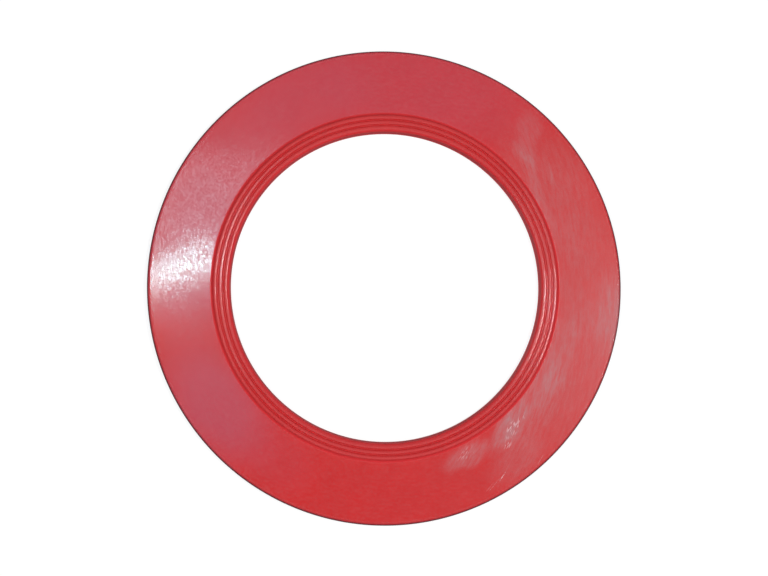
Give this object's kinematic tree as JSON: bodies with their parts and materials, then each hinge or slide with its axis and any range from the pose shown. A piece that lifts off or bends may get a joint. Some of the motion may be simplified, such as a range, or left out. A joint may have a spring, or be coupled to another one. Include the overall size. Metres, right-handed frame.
{
  "type": "flush valve seal",
  "caption": "Flat round rubber seal for a toilet flush valve, a broad flange with a raised collar of round beads at its bore.",
  "frame": {"origin": "centre of the flat underside", "axes": "+Z along the bore's axis, towards the side with the beads; +X is the picture's right and +Y its top"},
  "size_m": [0.086, 0.086, 0.0026],
  "materials": {
    "red_rubber": "satin moulded red rubber, with a whitish handling haze in patches"
  },
  "bodies": {
    "root": {"seal_ring": "red_rubber"}
  },
  "joints": []
}
